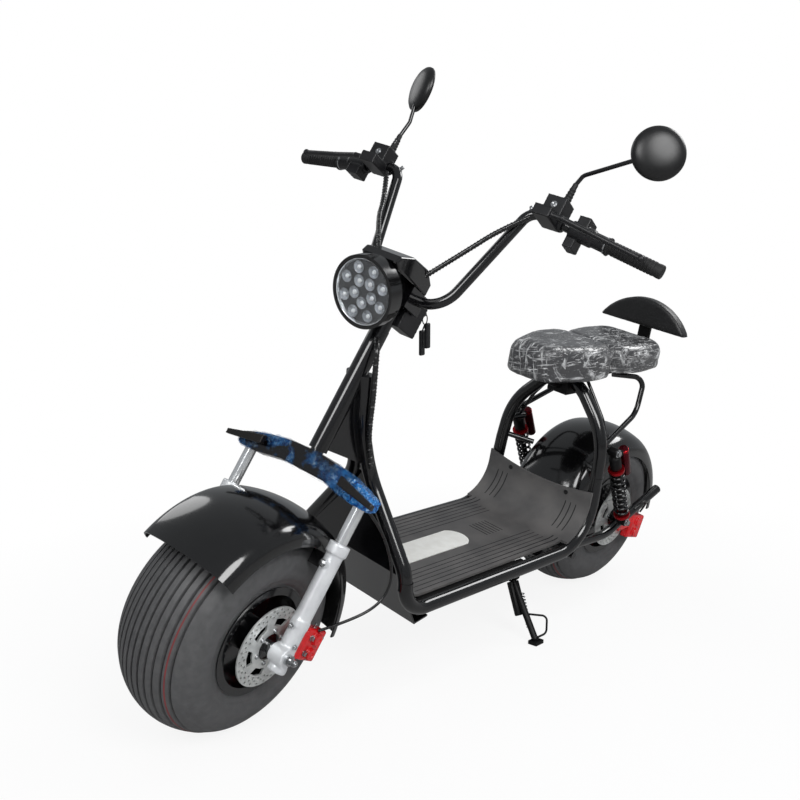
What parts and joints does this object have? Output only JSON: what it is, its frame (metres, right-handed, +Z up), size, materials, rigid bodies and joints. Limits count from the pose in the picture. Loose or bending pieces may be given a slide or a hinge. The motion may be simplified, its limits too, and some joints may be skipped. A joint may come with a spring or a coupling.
{
  "type": "electric chopper scooter",
  "caption": "Fat-tyred electric scooter with high handlebar, low footboard, two saddles, small back pad, disc brakes and side stand, parked leaning to its left.",
  "frame": {"origin": "centre of the bounding box, on the floor", "axes": "+X along the direction of travel, +Y to the rider's left, +Z up from the floor; the scooter leans to +Y on its side stand with the steering turned to the left"},
  "size_m": [1.7266, 0.9068, 1.349],
  "materials": {
    "tyre_rubber": "matt tyre rubber",
    "rim_paint": "satin black paint",
    "disc_steel": "brushed steel",
    "satin_black": "satin black paint",
    "chrome_plate": "chrome plate",
    "gloss_black": "gloss black paint",
    "zinc_steel": "bright zinc-plated steel",
    "gloss_fender": "gloss black plastic",
    "caliper_red": "gloss red paint",
    "slider_silver": "silver-painted cast aluminium",
    "signal_plastic": "smoked plastic",
    "lamp_shell": "gloss black shell",
    "lamp_glass": "clear polycarbonate",
    "dash_plastic": "gloss black plastic",
    "grip_rubber": "black rubber",
    "switch_plastic": "black plastic",
    "lever_black": "satin black paint",
    "mirror_shell": "gloss black shell",
    "key_plastic": "black plastic",
    "cable_rubber": "black sheath",
    "box_black": "black powder coat",
    "mat_rubber": "black ribbed rubber",
    "pad_grey": "pale grey ribbed plate",
    "shock_black": "black spring and damper with red collars",
    "seat_leather": "black synthetic leather under clear film",
    "pad_leather": "black synthetic leather",
    "tail_red": "red lens"
  },
  "bodies": {
    "frame": {"frame_tubes": "gloss_black", "seat_hoop": "gloss_black", "head_tube": "gloss_black", "nose_panel": "gloss_black", "battery_box": "box_black", "frame_brackets": "gloss_black", "floor_mat": "mat_rubber", "foot_pad": "pad_grey", "swingarm": "gloss_black", "shocks": "shock_black", "rear_fender": "gloss_fender", "rear_caliper": "caliper_red", "front_seat": "seat_leather", "rear_seat": "seat_leather", "seat_pans": "box_black", "seat_supports": "gloss_black", "back_pad": "pad_leather", "tail_lamp": "tail_red", "frame_cables": "cable_rubber"},
    "fork": {"fork_sliders": "slider_silver", "fork_stanchions": "chrome_plate", "fork_crown": "gloss_black", "steering_stem": "gloss_black", "front_axle": "zinc_steel", "front_fender": "gloss_fender", "front_caliper": "caliper_red", "turn_signals": "signal_plastic", "headlight": "lamp_shell", "headlight_lens": "lamp_glass", "dash_cover": "dash_plastic", "handlebar": "gloss_black", "grips": "grip_rubber", "bar_switches": "switch_plastic", "brake_levers": "lever_black", "mirrors": "mirror_shell", "ignition_box": "switch_plastic", "keys": "key_plastic", "bar_cables": "cable_rubber"},
    "front_wheel": {"front_tyre": "tyre_rubber", "front_rim": "rim_paint", "front_disc": "disc_steel"},
    "rear_wheel": {"rear_tyre": "tyre_rubber", "hub_motor": "rim_paint", "rear_disc": "disc_steel"},
    "stand": {"stand_leg": "satin_black"}
  },
  "joints": [
    {"name": "steering", "type": "hinge", "parent": "frame", "child": "fork", "pos_m": [0.62743, -0.16807, 0.22022], "axis": [-0.4717, 0.1802, 0.8631], "range_deg": [-43.6, 26.4]},
    {"name": "front_wheel_spin", "type": "hinge", "parent": "fork", "child": "front_wheel", "pos_m": [0.63614, -0.16565, 0.22448], "axis": [-0.132, 0.9534, -0.2712], "continuous": true},
    {"name": "rear_wheel_spin", "type": "hinge", "parent": "frame", "child": "rear_wheel", "pos_m": [-0.59876, -0.16711, 0.22602], "axis": [-0.0002, 0.9789, -0.2045], "continuous": true},
    {"name": "stand_fold", "type": "hinge", "parent": "frame", "child": "stand", "pos_m": [-0.14883, -0.05996, 0.14191], "axis": [0.0803, 0.8034, 0.59], "range_deg": [0, 80]}
  ]
}
